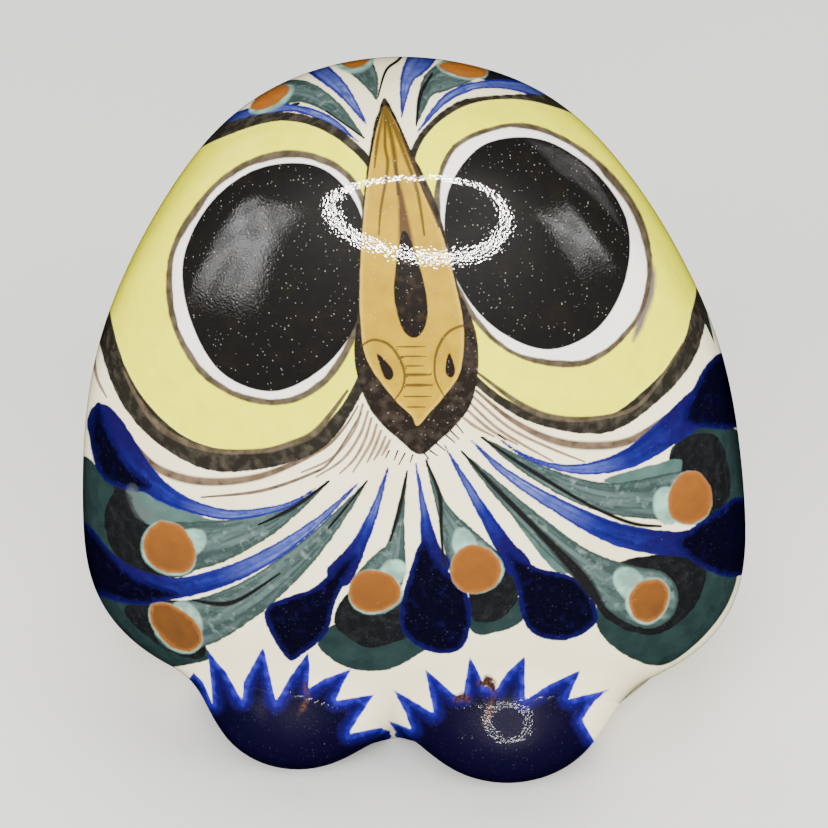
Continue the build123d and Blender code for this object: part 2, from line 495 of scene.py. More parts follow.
BLUE_HEADS = [
    [(-35.3, 0.9), (-34.2, -2.3), (-32.2, -5.9), (-29.3, -8.7), (-31.9, -9.3), (-35.2, -7.6),
     (-36.5, -3.8), (-36.3, -0.6)],
    [(-37.0, -12.9), (-33.9, -16.3), (-31.2, -19.0), (-26.1, -21.0), (-29.9, -22.3), (-33.5, -21.8),
     (-37.5, -20.3), (-41.0, -17.4), (-42.0, -14.2), (-40.0, -12.2)],
    [(-5.8, -17.0), (-8.3, -21.9), (-9.3, -25.5), (-12.1, -28.0), (-13.9, -28.5), (-16.3, -24.0),
     (-15.3, -21.9), (-10.7, -20.2), (-7.1, -16.8)],
    [(1.7, -14.9), (3.8, -17.7), (6.6, -20.5), (7.2, -24.2), (6.1, -27.4), (3.0, -27.9), (0.0, -26.3),
     (-1.0, -23.8), (-0.3, -20.0)],
    [(11.1, -16.0), (14.8, -18.0), (18.5, -18.9), (20.8, -20.9), (21.5, -24.2), (18.2, -26.3),
     (14.6, -25.8), (13.0, -23.6), (12.3, -19.9)],
    [(32.2, -13.6), (35.0, -11.8), (37.6, -10.0), (40.0, -11.0), (41.0, -14.0), (40.0, -17.3),
     (37.2, -19.1), (33.4, -17.9), (30.5, -15.3)],
    [(32.4, 1.6), (33.5, 4.2), (35.2, 6.3), (37.3, 6.3), (38.9, 3.8), (39.2, 0.6), (37.8, -1.9),
     (34.5, -2.1), (31.6, -1.2)],
    oval(-20.0, 45.2, -115, 4.2, 2.9), oval(3.1, 50.5, 180, 4.2, 3.0),
]
TEAL = [
    [(-9.1, -8.2, 0.1), (-12.4, -10.9, 0.6), (-16.7, -13.3, 1.5), (-21.8, -15.1, 2.4), (-26.7, -15.8, 3.0)],
    [(-4.7, -8.2, 0.1), (-7.8, -12.1, 0.75), (-12.4, -17.0, 1.5), (-17.6, -21.2, 2.05),
     (-22.7, -23.9, 2.7), (-26.4, -24.7, 2.8)],
    [(-0.1, -7.0, 0.1), (-0.8, -11.4, 0.45), (-1.5, -16.0, 1.2), (-2.4, -18.0, 2.1), (-3.8, -20.7, 2.9)],
    [(2.1, -5.9, 0.1), (3.9, -11.1, 0.7), (5.9, -14.9, 1.95), (7.7, -17.9, 3.0)],
    [(6.2, -4.8, 0.1), (9.9, -8.7, 0.75), (15.1, -13.7, 1.3), (20.2, -17.9, 1.9), (25.4, -20.9, 3.1),
     (27.4, -21.5, 3.4)],
    [(8.5, -3.1, 0.1), (12.5, -5.8, 0.7), (17.9, -8.6, 1.3), (23.7, -10.2, 1.85), (31.4, -9.9, 2.9)],
    [(-5.1, 31.3, 0.1), (-8.4, 34.5, 0.85), (-12.2, 36.4, 1.3), (-16.0, 35.6, 1.5)],
    [(-3.6, 35.6, 0.1), (-4.4, 37.9, 1.0), (-6.0, 40.3, 1.7), (-7.3, 43.0, 2.3)],
    [(1.0, 32.8, 0.1), (2.2, 36.7, 0.9), (3.8, 38.0, 1.6), (6.2, 39.2, 1.9), (9.5, 41.5, 2.4)],
]
DARK_EDGES = [
    [(-9.1, -8.2, 0.1), (-13.0, -11.1, 0.25), (-17.0, -13.1, 0.1)],
    [(-4.7, -8.2, 0.1), (-7.8, -12.0, 0.15), (-9.0, -13.4, 0.1)],
    [(-14.7, -18.7, 0.1), (-19.0, -21.5, 0.25), (-21.5, -22.1, 0.3), (-24.4, -21.7, 0.1)],
    [(-0.1, -7.1, 0.1), (-1.0, -11.4, 0.25), (-2.0, -14.9, 0.1)],
    [(2.1, -5.9, 0.1), (3.6, -9.7, 0.25), (3.8, -14.0, 0.2), (4.1, -17.7, 0.15)],
    [(6.2, -4.8, 0.1), (10.2, -9.1, 0.3), (15.1, -14.1, 0.4), (19.9, -19.2, 0.8), (22.5, -23.2, 0.25)],
    [(8.5, -3.2, 0.1), (13.9, -6.8, 0.25), (20.2, -10.6, 0.2), (25.4, -12.9, 0.25), (28.8, -13.3, 0.15)],
    [(1.0, 32.8, 0.1), (1.4, 36.0, 0.25), (2.7, 38.4, 0.15)],
    [(-3.4, 36.0, 0.1), (-2.5, 38.9, 0.17), (-0.9, 40.3, 0.17), (0.2, 42.5, 0.1)],
    [(-5.1, 31.3, 0.1), (-9.2, 34.1, 0.1)],
    [(-33.5, -8.9, 0.15), (-32.2, -9.8, 0.35), (-31.6, -10.1, 0.15)],
]
TEAL_WASH = [
    [(9.6, -7.8), (15.1, -13.1), (19.9, -18.3), (18.5, -18.7), (16.2, -17.9), (11.4, -11.4)],
    [(22.5, -8.0), (28.8, -6.1), (31.4, -5.7), (30.5, -8.0), (26.0, -8.8)],
    [(-32.3, -8.4), (-29.0, -9.6), (-23.3, -12.3), (-20.4, -12.9), (-22.7, -14.3), (-29.3, -13.3),
     (-31.9, -10.0)],
]
# A soft grey streak over a small pit in the glaze: a painted reflection of the pit.
PIT_SHEENS = [[(-31.7, -9.1, 0.25), (-30.4, -11.6, 0.55), (-28.1, -12.6, 0.2)]]
ORANGE = [
    oval(-27.3, -15.8, 45, 3.3, 2.7), oval(-26.6, -24.8, 49, 3.6, 2.1), oval(-3.9, -20.8, 90, 3.0, 2.5),
    oval(7.7, -18.2, 90, 2.9, 2.8), oval(27.4, -21.7, -32, 2.6, 2.2), oval(32.3, -10.1, -15, 3.1, 2.5),
    oval(-15.7, 35.6, -60, 2.5, 0.9), oval(-6.2, 41.2, -72, 2.4, 2.0), oval(6.4, 39.0, 80, 2.8, 0.9),
]
MINT = [
    oval(-27.4, -15.9, 45, 3.65, 3.0), oval(-25.0, -15.1, 100, 2.2, 1.7),
    oval(-26.6, -24.9, 49, 3.9, 2.4), oval(-25.2, -23.7, 40, 2.5, 1.6),
    oval(-3.8, -20.9, 90, 3.3, 2.8), oval(-1.9, -18.8, 130, 2.2, 1.6),
    oval(7.8, -18.2, 90, 3.2, 3.0), oval(6.6, -15.6, 25, 2.4, 1.6),
    oval(27.3, -21.7, -32, 3.0, 2.6), oval(25.4, -20.0, 40, 2.6, 1.8),
    oval(32.2, -10.2, -15, 3.35, 2.75), oval(29.9, -11.0, 10, 2.4, 2.0),
    oval(-15.5, 35.4, -60, 3.1, 1.3), oval(-6.2, 41.0, -72, 3.0, 2.6), oval(6.3, 39.0, 80, 3.2, 1.3),
]
BLACK = [
    [(-33.4, -8.9), (-34.8, -12.6), (-33.0, -17.3), (-28.7, -19.2), (-24.4, -18.3), (-25.0, -13.7),
     (-29.3, -12.6), (-31.9, -9.3)],
    [(-32.3, -22.4), (-29.3, -21.7), (-24.4, -22.3), (-23.1, -26.9), (-24.4, -28.5), (-28.7, -26.8),
     (-31.9, -24.0)],
    [(-6.8, -20.9), (-8.5, -24.3), (-5.8, -26.9), (-3.0, -27.1), (1.3, -25.2), (1.1, -22.3), (-3.0, -20.6)],
    [(6.9, -21.2), (7.4, -24.0), (10.5, -24.0), (12.6, -21.4), (12.5, -18.3), (9.4, -15.7), (7.6, -18.9)],
    [(27.7, -16.6), (31.1, -16.2), (34.0, -18.2), (32.3, -23.0), (27.7, -25.7), (22.5, -23.7),
     (20.8, -19.4), (24.5, -17.2)],
    [(30.1, -5.7), (31.3, -3.4), (35.1, -2.8), (36.8, -6.6), (36.5, -10.8), (33.5, -13.2), (29.1, -11.4),
     (29.1, -8.0)],
    [(9.1, 39.6), (13.4, 38.3), (15.8, 36.9), (14.9, 36.0), (10.0, 37.4), (7.7, 38.2), (7.6, 39.7)],
    [(-19.4, 33.2), (-16.3, 33.9), (-12.6, 35.2), (-13.0, 34.4), (-17.8, 33.0)],
    oval(-7.0, 43.6, -105, 3.8, 3.2), oval(9.6, 42.2, 130, 3.4, 2.9),
]
TEAL_GROUND = [
    [(-37.0, -5.3), (-34.4, -8.0), (-32.2, -9.1), (-33.0, -12.6), (-33.2, -17.4), (-36.2, -15.6),
     (-39.5, -14.4), (-41.6, -11.6), (-41.6, -8.4), (-39.6, -5.9)],
    [(-36.4, -19.0), (-33.0, -20.9), (-29.6, -21.7), (-22.7, -27.6), (-25.6, -29.2), (-29.5, -29.3),
     (-34.0, -28.2), (-38.0, -25.4), (-40.2, -21.8), (-39.0, -19.2)],
    [(-8.8, -24.7), (-10.4, -27.0), (-7.2, -29.5), (-2.7, -29.9), (1.3, -28.0), (2.5, -26.6), (1.3, -24.0),
     (-4.4, -24.6)],
    [(6.9, -23.7), (7.4, -25.5), (9.3, -25.7), (12.9, -24.3), (13.4, -21.4), (9.6, -22.0)],
    [(21.5, -24.7), (24.0, -27.5), (27.7, -29.2), (30.5, -28.7), (34.2, -25.5), (36.8, -21.6),
     (37.4, -17.8), (33.1, -16.6), (26.0, -18.3), (21.9, -21.7)],
    [(30.5, -4.0), (33.1, -2.0), (36.6, -1.7), (38.8, -3.6), (39.5, -7.0), (38.6, -10.0), (35.7, -11.9),
     (33.1, -10.9), (30.3, -6.8)],
    oval(-7.8, 45.5, -105, 4.6, 4.0), oval(11.0, 44.0, 130, 4.2, 3.8),
]

SWEEPS = [
    [(-31.4, -3.7, 0.1), (-28.7, -6.7, 0.45), (-23.6, -8.2, 0.5), (-17.0, -7.6, 0.4), (-10.1, -4.6, 0.25),
     (-7.5, -2.3, 0.15), (-5.8, 0.3, 0.1)],
    [(-23.6, -10.0, 0.1), (-17.0, -9.3, 0.2), (-11.3, -7.4, 0.17), (-8.7, -5.7, 0.15), (-5.4, -0.5, 0.1)],
    [(7.9, 2.1, 0.15), (11.9, -1.1, 0.3), (16.5, -3.4, 0.45), (21.1, -4.1, 0.5), (26.0, -3.3, 0.45),
     (31.4, 0.7, 0.1)],
]
HAIRS = [
    thin_line((-5.2, 0.5), (-6.2, -2.4), (-8.7, -5.5), (-12.1, -7.1)),
    thin_line((-4.6, -0.3), (-5.5, -2.9), (-7.5, -5.7), (-10.4, -7.6)),
    thin_line((-4.2, -1.1), (-4.9, -3.4), (-6.1, -5.6), (-7.7, -7.2)),
    thin_line((-3.6, -1.8), (-4.3, -3.9), (-6.2, -7.0)),
    thin_line((-3.1, -2.5), (-3.8, -4.3), (-4.6, -5.9)),
    thin_line((-2.6, -3.2), (-3.2, -4.6), (-3.8, -5.6)),
    thin_line((-2.1, -3.6), (-2.5, -4.4), (-2.9, -5.1)),
    thin_line((8.4, 2.7), (11.9, 0.0), (15.0, -1.3), (17.9, -1.9)),
    thin_line((7.6, 1.4), (11.6, -2.0), (16.2, -4.3), (20.2, -5.9)),
    thin_line((7.3, 0.6), (10.0, -1.9), (13.1, -3.9), (16.5, -5.8)),
    thin_line((7.0, -0.2), (9.5, -2.3), (12.5, -3.9)),
    thin_line((6.5, -1.0), (7.7, -1.9), (9.8, -3.0)),
    thin_line((-35.5, 7.5), (-35.8, 5.7), (-35.5, 3.5), (-34.6, 1.6)),
]
DASHES = [
    thin_line(start, end, width=0.14) for start, end in (
        ((-1.2, -4.8), (-1.5, -5.6)), ((-0.4, -5.1), (-1.0, -6.2)), ((-2.2, -4.8), (-2.5, -5.4)),
        ((0.5, -5.3), (0.3, -5.9)), ((5.5, -1.6), (6.3, -2.6)), ((4.9, -2.4), (5.8, -3.3)),
        ((4.5, -3.0), (5.3, -3.7)), ((3.2, -3.8), (4.2, -4.6)), ((2.6, -4.7), (3.3, -5.2)),
        ((10.5, -2.9), (11.2, -3.4)), ((1.9, -5.0), (2.3, -5.5)))
]

BEAK = [
    [(-2.6, 34.9), (-1.8, 33.7), (-0.8, 31.7), (1.4, 25.9), (3.8, 20.5), (5.6, 13.7), (6.4, 8.7), (5.9, 4.2),
     (4.1, 1.5), (2.5, -0.3), (1.1, -1.8), (0.4, -0.6), (-1.5, 1.2), (-4.6, 5.6), (-5.4, 10.2),
     (-5.4, 16.5), (-4.8, 24.9), (-3.8, 31.1), (-3.2, 33.4)],
]
BEAK_EDGE = [
    [(-2.7, 35.8), (-1.6, 34.2), (0.2, 30.3), (3.1, 24.2), (5.0, 17.7), (5.9, 13.8), (7.6, 9.6), (8.1, 5.0),
     (6.9, 0.0), (3.0, -4.1), (1.3, -5.1), (-0.7, -3.7), (-4.3, 0.0), (-6.1, 5.6), (-5.7, 11.8),
     (-5.2, 23.3), (-4.1, 31.7), (-3.4, 34.2)],
]
BEAK_DROP = [
    [(0.4, 19.3), (1.8, 14.9), (2.3, 11.2), (1.8, 9.1), (0.7, 8.2), (-0.6, 9.2), (-1.5, 12.4),
     (-1.5, 15.5), (-0.8, 19.9), (-0.3, 20.5)],
]
BEAK_SHADE = [[(-1.5, 28.3), (-0.1, 23.0), (0.9, 16.8), (-0.8, 16.8), (-1.1, 24.2)]]
BEAK_STREAKS = [
    thin_line((-2.7, 34.8), (-3.5, 30.8), (-3.8, 28.0)),
    thin_line((-2.6, 34.7), (-2.6, 30.4), (-2.3, 28.0), (-3.1, 23.0), (-3.3, 20.2)),
    thin_line((-2.6, 34.7), (-1.6, 29.8), (-1.1, 24.9), width=0.28),
    thin_line((-2.4, 34.6), (-0.4, 29.5), (1.1, 25.2), (1.9, 20.2), width=0.25),
    thin_line((-2.2, 34.2), (0.4, 28.9), (2.6, 23.5), (3.5, 21.1)),
]
NOSTRIL_LINES = [
    thin_line((-5.2, 7.4), (-4.0, 8.0), (-2.4, 7.6), (-1.2, 6.3), (-0.4, 4.3), (-0.6, 2.5), (-1.6, 1.0),
              width=0.18),
    thin_line((7.8, 7.9), (7.5, 9.2), (6.4, 9.6), (4.7, 8.9), (3.6, 7.4), (3.1, 5.6), (3.2, 3.4), (4.3, 1.3),
              width=0.18),
]
NOSTRILS = [
    [(-3.5, 6.5), (-2.0, 5.0), (-1.6, 4.0), (-2.0, 3.4), (-2.7, 3.7), (-3.3, 5.4)],
    [(4.8, 6.5), (5.4, 4.7), (5.2, 3.8), (4.7, 3.7), (4.3, 4.3), (4.4, 5.6)],
]
TICKS = [
    thin_line((left, height), ((left + right) / 2, height), (right, height), width=width)
    for left, right, height, width in (
        (-1.2, 1.9, 7.2, 0.1), (-0.7, 2.0, 6.1, 0.1), (-0.4, 1.8, 5.0, 0.1), (-0.3, 2.6, 4.0, 0.2),
        (-0.2, 2.7, 2.8, 0.19), (-0.3, 2.6, 1.5, 0.1), (0.0, 1.9, 0.3, 0.1))
]

TOES = [
    [(-24.6, -30.0), (-23.5, -31.2), (-22.5, -33.7), (-22.9, -27.5), (-20.9, -30.0), (-19.1, -33.3),
     (-18.9, -31.2), (-16.6, -27.0), (-16.0, -29.7), (-15.2, -33.5), (-13.7, -30.8), (-11.5, -27.8),
     (-11.3, -29.7), (-11.5, -32.0), (-9.6, -30.8), (-6.5, -29.7), (-7.5, -31.4), (-8.3, -33.3),
     (-3.9, -32.6), (-5.3, -34.6), (-6.8, -37.0), (-3.4, -36.3), (-2.1, -36.7), (-2.1, -39.8),
     (-5.1, -50.4), (-23.9, -50.4), (-28.4, -35.3)],
    [(0.2, -39.1), (-0.9, -37.6), (-2.4, -35.5), (0.3, -36.5), (-0.4, -34.6), (-1.8, -32.0),
     (2.9, -34.8), (2.5, -32.7), (1.9, -29.7), (5.4, -32.8), (6.3, -32.8), (7.1, -28.2), (8.8, -31.7),
     (10.1, -32.1), (11.3, -30.2), (13.4, -28.2), (13.4, -33.3), (16.0, -31.5), (19.7, -29.7),
     (18.3, -33.1), (23.1, -31.9), (21.3, -33.4), (19.9, -35.5), (22.4, -39.8), (22.4, -50.4),
     (0.2, -50.4), (-1.7, -39.8)],
]
TOE_BROWNS = [
    [(5.6, -33.2, 0.4), (6.4, -33.0, 0.5), (7.0, -33.4, 0.25)],
    [(8.3, -31.5, 0.3), (9.2, -31.2, 0.7), (9.8, -32.1, 0.4)],
    [(9.6, -33.1, 0.25), (9.2, -34.7, 0.4), (8.8, -36.2, 0.25)],
    [(-11.8, -31.4, 0.15), (-11.7, -33.4, 0.3), (-12.6, -34.9, 0.25)],
]

# ---------------------------------------------------------------- the design on the back
FAN_ORIGIN = (0.0, 14.0)
FAN_FEATHERS = 9
FAN_STEP = 19.5
FAN_REACH = 33.0
FAN_SQUASH = 5.5
BLUE_WIDTHS = (0.1, 0.4, 0.6, 0.8, 1.1, 1.8, 3.2)
TEAL_WIDTHS = (0.1, 0.5, 0.9, 1.4, 2.0, 2.9, 3.6)
HAIR_WIDTHS = (0.08, 0.18, 0.20, 0.16, 0.08)
HAIR_REACH = 0.42
FAN_DISCS = (
    # what it is, how far past the stroke's end, and half its length and width
    ("mint", -0.4, 3.2, 2.7), ("orange", 0.3, 2.6, 2.3), ("black", 2.4, 4.6, 4.7),
    ("teal_ground", 4.2, 5.6, 6.6),
)
HEM_LEAVES = 15
HEM_STEP = 5.6
HEM_RADIUS = 30.0


def fan_stroke(origin, angle, bend, reach, widths):
    """A brush stroke from near the origin outwards, that bends as it goes."""
    out = []
    for part, width in zip(np.linspace(0.08, 1.0, len(widths)), widths):
        a = math.radians(angle + bend * part**1.5)
        out.append((origin[0] + reach * part * math.sin(a), origin[1] - reach * part * math.cos(a), width))
    return out


def back_design():
    """A fan of teal and blue feathers down the back, in the same strokes as the front."""
    rng = np.random.default_rng(7)
    design = {key: [] for key in FACE_DESIGN}
    for k in range(FAN_FEATHERS):
        angle = (k - FAN_FEATHERS // 2) * FAN_STEP + rng.uniform(-2, 2)
        slant = math.sin(math.radians(angle))
        reach = FAN_REACH - FAN_SQUASH * slant**2 + rng.uniform(-1, 1)
        bend = 10 * slant + rng.uniform(-3, 3)
        turned = angle + bend
        if k % 2 == 0:
            stroke = fan_stroke(FAN_ORIGIN, angle, bend, reach - 2.5, TEAL_WIDTHS)
            side = math.radians(turned)
            design["teal"].append(stroke)
            for name, further, along, across in FAN_DISCS:
                x, y = stroke[-1][0] + further * math.sin(side), stroke[-1][1] - further * math.cos(side)
                design[name].append(oval(x, y, turned, along, across))
            edge = [(x - w * math.cos(side), y - w * math.sin(side), 0.17) for x, y, w in stroke]
            design["dark_line"].append(edge)
        else:
            stroke = fan_stroke(FAN_ORIGIN, angle, bend, reach, BLUE_WIDTHS)
            design["blue"].append(stroke)
            design["blue_head"].append(oval(stroke[-1][0], stroke[-1][1], turned, 5.0, 3.6))
        for name, offset in (("hair", 7.0), ("hair_between", 11.5)):
            hair = fan_stroke(FAN_ORIGIN, angle + offset, bend, reach * HAIR_REACH, HAIR_WIDTHS)
            design[name].append(hair)
    return design


def hem_design():
    """Cobalt leaves that stand on the base's edge, all round the back, over a navy band. The band takes the
    toes' paint, so it is painted darker towards the floor as painted shade.
    """
    rng = np.random.default_rng(11)
    design = {key: [] for key in FACE_DESIGN}
    for k in range(HEM_LEAVES):
        x = (k - HEM_LEAVES // 2) * HEM_STEP + rng.uniform(-0.4, 0.4)
        tip = rng.uniform(10.5, 12.5)
        lean = rng.uniform(-0.8, 0.8)
        design["blue"].append([(x + lean, tip, 0.1), (x + lean * 0.6, tip * 0.75, 0.8),
                               (x + lean * 0.3, tip * 0.45, 1.9), (x, 0.0, 3.0)])
    # The navy band, which the toes' painted shade darkens towards the floor.
    design["toes"].append([(-46, -6), (46, -6), (40, 1.6), (0, 2.2), (-40, 1.6)])
    return design


# Each shape's name is also its attribute's. Every second hair has a field of its own, because a
# field can't tell two strokes apart that lie close together.
FACE_DESIGN = {
    "pupil": PUPILS,
    "white_ring": WHITE_RINGS,
    "yellow": YELLOWS,
    "dark_ring": DARK_RINGS,
    "mauve": MAUVE,
    "beak_edge": BEAK_EDGE,
    "beak": BEAK,
    "beak_drop": BEAK_DROP,
    "beak_shade": BEAK_SHADE,
    "nostril": NOSTRILS,
    "blue_head": BLUE_HEADS,
    "teal_wash": TEAL_WASH,
    "mint": MINT,
    "orange": ORANGE,
    "black": BLACK,
    "teal_ground": TEAL_GROUND,
    "toes": TOES,
    "blue": BLUE,
    "teal": TEAL,
    "toe_brown": TOE_BROWNS,
    "pit_sheen": PIT_SHEENS,
    "hair": HAIRS[0::2],
    "hair_between": HAIRS[1::2],
    "sweep": SWEEPS,
    "eye_line": KHAKI,
    "dark_line": DARK_EDGES + DASHES,
    "beak_line": BEAK_STREAKS + NOSTRIL_LINES + TICKS,
}
LINES = ("hair", "hair_between", "sweep", "eye_line", "dark_line", "beak_line")
FEATHERS = ("blue", "teal")
STROKES = FEATHERS + LINES + ("toe_brown", "pit_sheen")
STRAIGHT_SIDED = ("toes",)

BACK_DESIGN = back_design()
HEM_DESIGN = hem_design()


def paint_fields(u, v, design):
    """Every painted shape's distance field at a grid's points, as flat lists by attribute name."""
    u, v = u.ravel(), v.ravel()
    fields = {}
    for name, shapes in design.items():
        if name in STROKES:
            fields[name], along, across = stroke_distance(u, v, shapes)
            if name in FEATHERS:
                fields[name + "_along"] = along
            if name in FEATHERS + LINES:
                fields[name + "_across"] = across
        else:
            fields[name] = outline_distance(u, v, shapes, name not in STRAIGHT_SIDED)
    return fields


def joined(a, b):
    """Two designs' fields as one: whichever shape is nearer."""
    out = {}
    for name in a:
        base = name.split("_along")[0].split("_across")[0]
        nearer = b[base] < a[base]
        out[name] = np.where(nearer, b[name], a[name])
    return out


# ---------------------------------------------------------------- meshes


def put_in_scene(name, data):
    """A new object for a mesh, light or camera."""
    thing = bpy.data.objects.new(name, data)
    bpy.context.scene.collection.objects.link(thing)
    return thing


def make_piece(name, points, faces, fields, flat):
    """A mesh object from points in millimetres, with one float attribute for each field. Faces
    numbered from flat onwards are walls with sharp edges."""
    mesh = bpy.data.meshes.new(name)
    mesh.from_pydata((points * MM).tolist(), [], faces)
    for field, values in fields.items():
        layer = mesh.attributes.new(field, "FLOAT", "POINT")
        layer.data.foreach_set("value", np.ascontiguousarray(values, np.float32))
    mesh.polygons.foreach_set("use_smooth", np.arange(len(faces)) < flat)
    mesh.update()
    return put_in_scene(name, mesh)


def grid_faces(rows, columns, start, flip):
    """Quads of a (rows, columns) block of vertex numbers."""
    i = np.arange(rows - 1)[:, None] * columns + np.arange(columns - 1)[None] + start
    quads = np.stack([i, i + 1, i + columns + 1, i + columns], -1).reshape(-1, 4)
    return (quads[:, ::-1] if flip else quads).tolist()


def bridge(a, b, flip):
    """Triangles between two chains of vertex numbers that start and end side by side."""
    faces, i, j = [], 0, 0
    while i < len(a) - 1 or j < len(b) - 1:
        if j == len(b) - 1 or (i < len(a) - 1 and (i + 1) * (len(b) - 1) <= (j + 1) * (len(a) - 1)):
            faces.append((a[i], a[i + 1], b[j]))
            i += 1
        else:
            faces.append((a[i], b[j + 1], b[j]))
            j += 1
    return [f[::-1] for f in faces] if flip else faces


def fan_faces(ring, tip, flip):
    """Triangles from a chain of vertex numbers to one tip."""
    faces = [(a, b, tip) for a, b in zip(ring[:-1], ring[1:])]
    return [f[::-1] for f in faces] if flip else faces


def inner_grid(angles, depth, slab_depth, side, fullness):
    """The hollow's wall, from the slab opening's lower edge up to the crown's inside."""
    slope = np.gradient(outline_curve, axis=0)
    normal = np.stack([-slope[:, 1], slope[:, 0]], -1)
    normal /= np.linalg.norm(normal, axis=1, keepdims=True)
    inner = outline_curve + normal * WALL
    inner = inner[(inner[:, 1] > WALL) & (inner[:, 0] > 0.3)]
    wall = evenly(inner, INNER_ROWS)
    radii = np.r_[SLAB_RADIUS, SLAB_RADIUS, wall[:, 0]]
    heights = np.r_[0.0, WALL, wall[:, 1]]
    grid = half_grid(angles, radii, heights, 1.0, fullness, side)
    slab_ratio, wall_ratio = slab_depth / SLAB_RADIUS, (depth - WALL) / (HALF_WIDTH - WALL)
    grid[..., 1] *= np.r_[slab_ratio, slab_ratio, np.full(len(wall), wall_ratio)][:, None]
    return grid


def shell_mesh(name, outer, inner, fields, flip):
    """A closed half shell from its outer and inner grids, which both end at the crown."""
    rows, columns = outer.shape[0] - 1, outer.shape[1]
    inner_rows = inner.shape[0]
    crown = rows * columns
    start = crown + 1
    inner_crown = start + inner_rows * columns
    points = np.concatenate([
        outer[:-1].reshape(-1, 3), outer[-1, :1], inner.reshape(-1, 3), inner[-1].mean(axis=0)[None]])
    along = np.arange(columns)
    outer_ring = (rows - 1) * columns + along
    inner_ring = start + (inner_rows - 1) * columns + along
    faces = grid_faces(rows, columns, 0, flip)
    faces += fan_faces(outer_ring, crown, flip)
    faces += grid_faces(inner_rows - 1, columns, start + columns, not flip)
    faces += fan_faces(inner_ring, inner_crown, not flip)
    flat = len(faces)
    faces += grid_faces(2, columns, start, not flip)
    faces += bridge(along, start + along, not flip)
    for column, turned in ((0, flip), (columns - 1, not flip)):
        outside = np.r_[np.arange(rows) * columns + column, crown]
        inside = np.r_[start + np.arange(inner_rows) * columns + column, inner_crown]
        faces += bridge(outside, inside, turned)
    full = {}
    for key, values in fields.items():
        grid = values.reshape(rows + 1, columns)
        data = np.full(len(points), FAR)
        data[:crown] = grid[:-1].ravel()
        data[crown] = grid[-1, 0]
        full[key] = data
    full["glazed"] = (np.arange(len(points)) <= crown).astype(float)
    return make_piece(name, points, [tuple(int(i) for i in f) for f in faces], full, flat)


def foot_mesh(name, skin, bare, outward, depth, fields):
    """A closed lump: its skin is the blend's surface, and its back lies on the shell under it."""
    rows, columns = depth.shape
    inside = depth > 0
    cell = inside[:-1, :-1] & inside[1:, :-1] & inside[:-1, 1:] & inside[1:, 1:]
    used = np.zeros(depth.shape, bool)
    for dr in (0, 1):
        for dc in (0, 1):
            used[dr:rows - 1 + dr, dc:columns - 1 + dc] |= cell
    number = np.full(depth.shape, -1)
    number[used] = np.arange(used.sum())
    count = int(used.sum())
    r, c = np.nonzero(cell)
    quads = np.stack([number[r, c], number[r, c + 1], number[r + 1, c + 1], number[r + 1, c]], -1)
    back = (quads[:, ::-1] + count).tolist()
    edges = {}
    for quad in quads.tolist():
        for a, b in zip(quad, quad[1:] + quad[:1]):
            if (b, a) in edges:
                del edges[(b, a)]
            else:
                edges[(a, b)] = True
    walls = [(b, a, a + count, b + count) for a, b in edges]
    points = np.concatenate([(skin + outward * LIP)[used], (bare + outward * LIP / 2)[used]])
    full = {key: np.concatenate([values.reshape(rows, columns)[used]] * 2)
            for key, values in fields.items()}
    full["glazed"] = np.ones(2 * count)
    return make_piece(name, points, quads.tolist() + back + walls, full, len(quads))


front_angles = turn_angles(FRONT_COLUMNS, FRONT_EVENNESS)
back_angles = turn_angles(BACK_COLUMNS, BACK_EVENNESS)
front_skin = half_grid(
    front_angles, profile[:, 0], profile[:, 1], FRONT_DEPTH / HALF_WIDTH, FRONT_FULLNESS, -1)
back_skin = half_grid(
    back_angles, profile[:, 0], profile[:, 1], BACK_DEPTH / HALF_WIDTH, BACK_FULLNESS, 1)
blended, bare_front, foot_depths, outward = with_feet(front_skin)
face_plane = FacePlane([blended, back_skin])
front_u, front_v, front_hand = face_plane(blended)
back_u, back_v, back_hand = face_plane(back_skin)
hem_u = np.arctan2(back_skin[..., 0], back_skin[..., 1]) * HEM_RADIUS
front_fields = paint_fields(front_u, front_v, FACE_DESIGN)
round_fields = paint_fields(back_u, back_v, FACE_DESIGN)
behind_fields = paint_fields(*seen_from_behind(back_skin), BACK_DESIGN)
hem_fields = paint_fields(hem_u, back_skin[..., 2], HEM_DESIGN)
back_fields = joined(joined(round_fields, behind_fields), hem_fields)
front_fields["hand"] = front_hand.ravel()
back_fields["hand"] = back_hand.ravel()

for grid in (blended, bare_front, back_skin):
    ray = grid - RAY_CENTRE
    grid += ray / np.linalg.norm(ray, axis=-1, keepdims=True) * wander(grid)[..., None]

front_shell = shell_mesh(
    "front_shell_glazed", bare_front,
    inner_grid(front_angles, FRONT_DEPTH, SLAB_FRONT, -1, FRONT_FULLNESS), front_fields, False)
back_shell = shell_mesh(
    "back_shell_glazed", back_skin,
    inner_grid(back_angles, BACK_DEPTH, SLAB_BACK, 1, BACK_FULLNESS), back_fields, True)
left_foot = foot_mesh("left_foot_glazed", blended, bare_front, outward, foot_depths[0], front_fields)
right_foot = foot_mesh("right_foot_glazed", blended, bare_front, outward, foot_depths[1], front_fields)

# ---------------------------------------------------------------- materials


